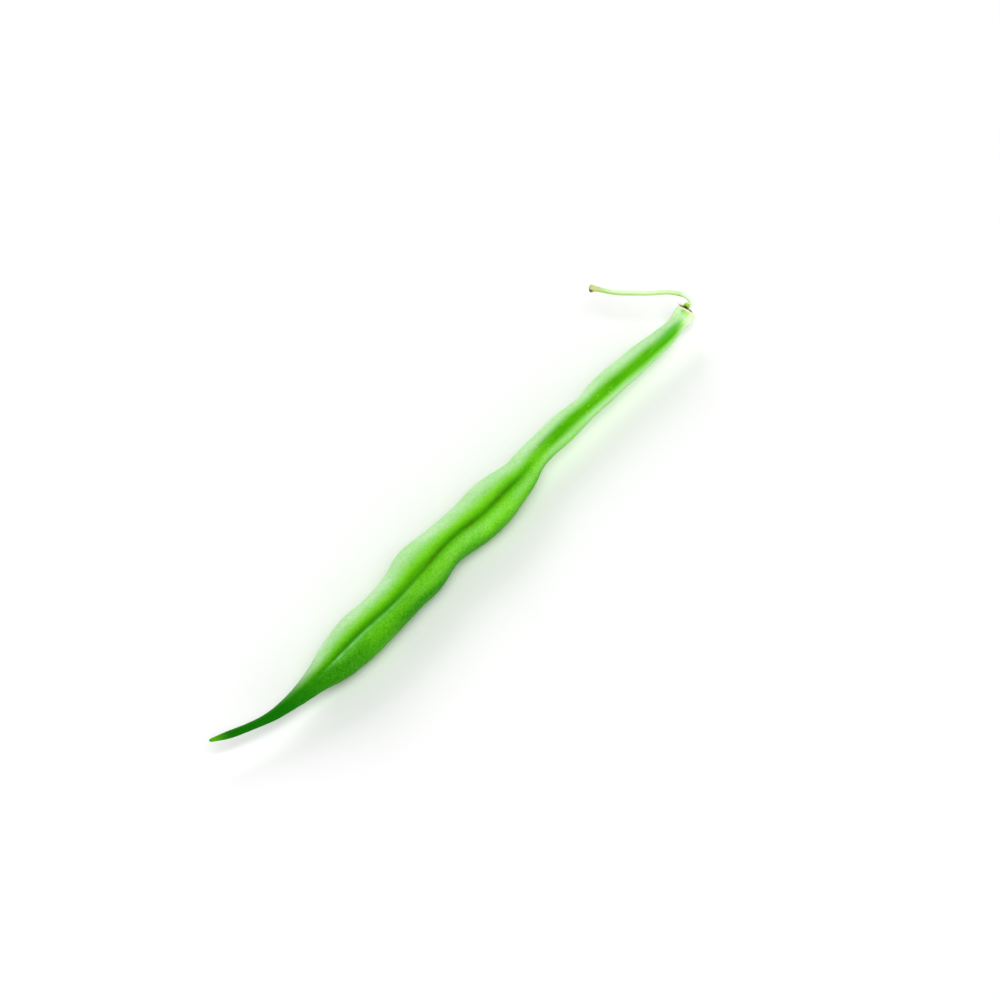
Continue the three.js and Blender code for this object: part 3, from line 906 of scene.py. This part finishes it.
def pod_skin_colour(g, along, mottle):
    """Green with patches and mottling; deeper towards the beak and on the -Y flank, partly
    painted shade, and paler in the neck, partly painted light.
    """
    c = POD_COLOURS
    cloud = g.noise(5.0, 3.0, (0.5, 1.0, 1.0))
    deep_and_shade = g.attribute("deep_and_shade")
    green = g.mix(g.step(cloud, 0.35, 0.65), c["skin"], c["light skin"])
    green = g.mix(g.step(mottle, 0.4, 0.7, 0.0, 0.25), green, c["mottling"])
    # Paler in the neck: partly the stem end's own paler green, partly painted light.
    green = g.over(green, c["neck"], g.step(along, 12.0, 34.0), 0.8)
    # Deeper green towards the beak, partly its own colour, and painted shade on the -Y flank.
    green = g.over(green, c["deep_and_shade"], deep_and_shade, 0.9)
    # Painted light: a brighter, warmer green on the lit +Y wall beside the crease.
    green = g.over(green, c["crease_wall_light"], g.attribute("crease_wall_light"), 0.5)

    # Bloom and painted highlight, in patches and fine specks.
    patchy = g.step(g.noise(3.2, 2.0, (0.6, 1.0, 1.0)), 0.35, 0.65, 0.84, 1.06)
    speckle = g.noise(0.42, 3.0, (1.6, 0.7, 0.7))
    bloom_and_highlight = g.times(g.attribute("bloom_and_highlight"), g.step(speckle, 0.3, 0.7, 0.62, 0.86))
    green = g.mix(g.times(bloom_and_highlight, patchy), green, c["bloom_and_highlight"])

    # Down: pale dots, and darker green between them where there is neither bloom nor painted
    # highlight.
    down = g.noise(0.3, 2.0, (1.5, 0.8, 0.8))
    dots = g.times(g.step(down, 0.46, 0.7, 0.0, 0.26), g.step(deep_and_shade, 0.0, 1.0, 1.0, 0.45))
    green = g.mix(dots, green, c["down"])
    bare = g.step(g.attribute("bloom_and_highlight"), 0.0, 0.7, 1.0, 0.3)
    gaps = g.times(g.step(down, 0.5, 0.3, 0.0, 0.26), bare)
    green = g.mix(gaps, green, c["between down"], "MULTIPLY")

    # Faint veins across the cheeks.
    veins = g.step(g.noise(0.75, 2.0, (1.4, 0.6, 0.6)), 0.44, 0.68, 0.0, 0.17)
    veins = g.times(veins, g.step(g.attribute("bloom_and_highlight"), 0.0, 0.5, 1.0, 0.0))
    veins = g.times(veins, g.step(deep_and_shade, 0.1, 0.9, 1.0, 0.4))
    return g.over(green, c["veins"], veins, g.step(along, 22.0, 12.0))


def pod_middle_colour(g, along, green):
    """Over the skin: the channel's streak and the crease, both painted shade, and scattered dots.
    """
    c = POD_COLOURS
    # Painted shade along the channel: its dark streak.
    streak = g.noise(1.6, 3.0, (0.3, 1.0, 1.0))
    deepest = g.mix(g.step(streak, 0.35, 0.7), c["streak"], c["light streak"])
    filled = g.step(streak, 0.3, 0.7, 0.98, 0.88)
    green = g.over(green, deepest, g.attribute("channel"), filled)
    # Painted shade in the crease.
    green = g.over(green, c["crease"], g.attribute("crease_shade"), 0.74)
    dots = g.times(g.scattered(0.88, 0.16), g.step(along, 8.0, 18.0, 0.12, 0.5))
    return g.over(green, c["dots"], dots, g.step(along, 50.0, 40.0))


def pod_ends_colour(g, along, green):
    """Over that: the whitish stalk end with its cream rim and its scar, and the dark beak."""
    c = POD_COLOURS
    fibres = g.step(g.noise(0.55, 2.0, (0.16, 1.0, 1.0)), 0.4, 0.62)
    whitish = g.mix(fibres, c["stalk end"], c["fibres"])
    green = g.over(green, whitish, g.step(along, 58.0, 63.2), 0.85)
    green = g.over(green, c["patch"], g.attribute("patch"), 0.8)
    green = g.over(green, c["pale end"], g.attribute("pale_end"), 0.6)
    green = g.over(green, c["end spot"], g.attribute("end_spot"), 0.7)
    green = g.over(green, c["rim"], g.step(along, 63.9, 64.4), 0.9)
    scar = g.mix(g.step(g.noise(0.5, 3.0), 0.35, 0.65), c["scar"], c["light scar"])
    green = g.mix(g.attribute("dish"), green, scar)
    green = g.over(green, c["beak"], g.step(along, -40.0, -55.0), 0.95)
    return g.over(green, c["beak point"], g.step(along, -62.5, -65.7), 0.75)


def pod_lines_colour(g, green):
    """Over that: painted shade along the seam, its flecks, a painted highlight on the lip beside
    it and the ridge on the back.
    """
    c = POD_COLOURS
    # Painted shade along the seam at the bottom of the crease.
    green = g.over(green, c["seam_shade"], g.attribute("seam_shade"), 0.25)
    stain = g.step(g.noise(0.7, 2.0, (0.6, 1.0, 1.0)), 0.3, 0.62)
    green = g.over(green, c["fleck"], g.times(g.attribute("fleck"), stain), 0.42)
    broken = g.step(g.noise(0.9, 2.0, (0.8, 1.0, 1.0)), 0.34, 0.64, 0.4, 0.78)
    # Painted highlight along the raised lip.
    green = g.over(green, c["lip_highlight"], g.attribute("lip_highlight"), broken)
    return g.over(green, c["ridge"], g.attribute("ridge"), 0.4)


def pod_material():
    g = Graph("pod_skin")
    along = g.attribute("along")
    mottle = g.noise(1.2, 3.0, (1.4, 1.0, 1.0))
    green = pod_skin_colour(g, along, mottle)
    green = pod_middle_colour(g, along, green)
    green = pod_ends_colour(g, along, green)
    green = pod_lines_colour(g, green)
    grain = g.noise(0.5, 3.0, (1.2, 0.8, 0.8))
    down = g.noise(0.17, 2.0)
    g.set(
        Base_Color=green,
        Roughness=g.step(mottle, 0.3, 0.7, 0.42, 0.52),
        Normal=g.bump(down, 0.30, 0.03, g.bump(grain, 0.35, 0.08)),
        Subsurface_Weight=0.10,
        Subsurface_Radius=(0.35, 1.0, 0.1),
        Subsurface_Scale=0.001,
        Sheen_Weight=0.02,
        Sheen_Roughness=0.4,
        Sheen_Tint=POD_COLOURS["sheen"],
        Specular_IOR_Level=0.09,
        IOR=1.45,
    )
    return g.material


def calyx_material():
    c = CALYX_COLOURS
    g = Graph("dried_calyx")
    tooth = g.attribute("tooth")
    fibre = g.noise(0.5, 3.0, (0.6, 0.6, 2.0))
    colour = g.mix(g.step(fibre, 0.35, 0.65), c["straw"], c["light straw"])
    colour = g.mix(g.step(tooth, 0.35, 1.0, 0.0, 0.9), colour, c["tooth"])
    colour = g.over(colour, c["brown"], g.attribute("brown"), 0.9)
    # Burnt calyx: partly dark dried colour, partly painted shade of the slit between rim and
    # stalk.
    colour = g.over(colour, c["scorched_and_shaded"], g.attribute("scorched_and_shaded"), 0.95)
    # Painted shade inside the calyx's cup.
    colour = g.mix(g.attribute("cup"), colour, c["cup"])
    normal = g.bump(fibre, 0.5, 0.06)
    g.set(Base_Color=colour, Roughness=0.6, Normal=normal, Specular_IOR_Level=0.3)
    return g.material


def stalk_material():
    """Along the stalk, from its green nub and pale bend to the dried, torn and withered end."""
    c = STALK_COLOURS
    g = Graph("stalk_skin")
    along = g.attribute("along")
    streak = g.noise(0.8, 3.0, (0.35, 0.35, 1.0))
    colour = g.mix(g.step(streak, 0.35, 0.65), c["skin"], c["light skin"])
    whitish = g.times(g.step(along, 8.5, 11.5), g.step(along, 19.5, 16.5))
    colour = g.over(colour, c["whitish"], whitish, 0.75)
    # Painted shade: the stalk's underside, greener and darker.
    colour = g.over(colour, c["shaded underside"], g.attribute("under"), 0.75)
    bend = g.times(g.step(along, 0.6, 1.4), g.step(along, 4.6, 2.6))
    colour = g.over(colour, c["bend"], bend, 0.8)
    colour = g.over(colour, c["nub"], g.attribute("nub"), 0.9)
    colour = g.over(colour, c["drying"], g.step(along, 18.0, 21.2), 0.85)
    shreds = g.step(g.noise(0.9, 2.0), 0.42, 0.52, 0.1, 0.6)
    colour = g.over(colour, c["torn"], g.step(along, 20.9, 21.9), shreds)
    withered = g.times(g.step(along, 20.7, 21.3), g.step(g.attribute("under"), 0.35, 0.75))
    colour = g.over(colour, c["withered"], withered, 0.9)
    g.set(
        Base_Color=colour,
        Roughness=g.step(streak, 0.3, 0.7, 0.42, 0.55),
        Normal=g.bump(streak, 0.4, 0.05),
        Subsurface_Weight=0.25,
        Subsurface_Radius=(0.7, 1.0, 0.3),
        Subsurface_Scale=0.0008,
        Sheen_Weight=0.05,
    )
    return g.material


# ---- Pieces ---------------------------------------------------------------------------

for node, piece, material in (
    ("pod", make_pod(), pod_material()),
    ("calyx", make_calyx(), calyx_material()),
    ("stalk", make_stalk(), stalk_material()),
):
    piece.data.materials.append(material)
    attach(piece, "root")
    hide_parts(node)

# ---- Floor and light ------------------------------------------------------------------

FLOOR_RADIUS = 620.0
FLOOR_SIDES = 96
FLOOR_TINTS = (linear(235, 235, 235), linear(238, 238, 238))
# Name, place, width and height, and watts of each softbox. All of them face the bean.
SOFTBOXES = (
    ("back_softbox", (330.0, 590.0, 320.0), (500.0, 520.0), 1.9),
    ("top_softbox", (-250.0, -300.0, 850.0), (700.0, 700.0), 4.4),
    ("side_softbox", (420.0, -480.0, 260.0), (420.0, 420.0), 0.6),
)
# The sky is white all round at the horizon, and dimmer overhead. The heights are those of its
# directions, 0 to 1.
SKY = {"horizon": 0.9, "overhead": 0.12, "heights": (0.12, 0.8)}


def make_floor():
    turn = np.linspace(0.0, 2.0 * np.pi, FLOOR_SIDES, endpoint=False)
    edge = FLOOR_RADIUS * np.stack([np.cos(turn), np.sin(turn), 0.0 * turn], axis=1)
    floor = mesh_object("floor", edge, [tuple(range(FLOOR_SIDES))], {})
    g = Graph("floor_white")
    tint = g.mix(g.step(g.noise(60.0, 2.0), 0.3, 0.7), *FLOOR_TINTS)
    g.set(Base_Color=tint, Roughness=0.75, Specular_IOR_Level=0.2)
    floor.data.materials.append(g.material)
    floor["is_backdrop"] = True


def make_light(name, place, size, watts):
    data = bpy.data.lights.new(name, "AREA")
    data.shape = "RECTANGLE"
    data.size = size[0] * MM
    data.size_y = size[1] * MM
    data.energy = watts
    light = bpy.data.objects.new(name, data)
    light.location = Vector(place) * MM
    aim = (-Vector(place)).normalized()
    light.rotation_euler = aim.to_track_quat("-Z", "Y").to_euler()
    bpy.context.scene.collection.objects.link(light)


def make_world():
    world = bpy.data.worlds.new("studio")
    world.use_nodes = True
    tree = world.node_tree
    background = tree.nodes["Background"]
    background.inputs["Color"].default_value = (1.0, 1.0, 1.0, 1.0)
    direction = tree.nodes.new("ShaderNodeTexCoord").outputs["Generated"]
    split = tree.nodes.new("ShaderNodeSeparateXYZ")
    tree.links.new(direction, split.inputs[0])
    height = tree.nodes.new("ShaderNodeMapRange")
    height.interpolation_type = "SMOOTHSTEP"
    tree.links.new(split.outputs["Z"], height.inputs["Value"])
    limits = (*SKY["heights"], SKY["horizon"], SKY["overhead"])
    for socket, value in enumerate(limits, start=1):
        height.inputs[socket].default_value = value
    tree.links.new(height.outputs[0], background.inputs["Strength"])
    bpy.context.scene.world = world


make_floor()
make_world()
for softbox in SOFTBOXES:
    make_light(*softbox)
bpy.context.scene.view_settings.view_transform = "Standard"
bpy.context.scene.view_settings.look = "High Contrast"

# ---- Sizes of the imported solids and of the dressed scene ----------------------------

sizes = {"cad": CAD_BOX, "visual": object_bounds()}
sizes = {name: [[float(v) for v in corner] for corner in box] for name, box in sizes.items()}
